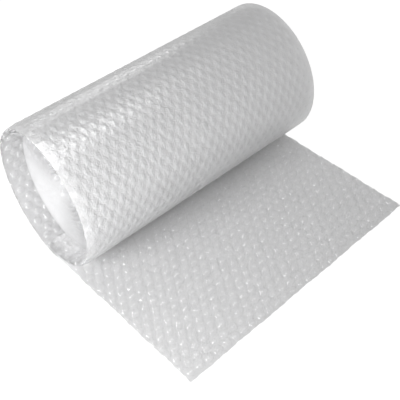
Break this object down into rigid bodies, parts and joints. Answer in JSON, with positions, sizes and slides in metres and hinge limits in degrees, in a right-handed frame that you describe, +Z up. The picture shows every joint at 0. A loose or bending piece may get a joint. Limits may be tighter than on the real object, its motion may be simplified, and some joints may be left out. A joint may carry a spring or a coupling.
{
  "type": "roll of cushioning film",
  "caption": "Coreless roll of clear small-bubble cushioning film lying on its side, with its free end rolled out flat in front, bubbles up, and one end of the roll dished.",
  "frame": {"origin": "on the floor under the roll's axis, at the middle of the film's width", "axes": "+X along the roll's axis away from its dished end, +Y behind the roll, away from the free end, +Z up"},
  "size_m": [0.3, 0.2776, 0.1573],
  "materials": {
    "film": "clear polyethylene, milky in many layers, soft gloss"
  },
  "bodies": {
    "root": {"bubble_film_roll": "film"}
  },
  "joints": []
}
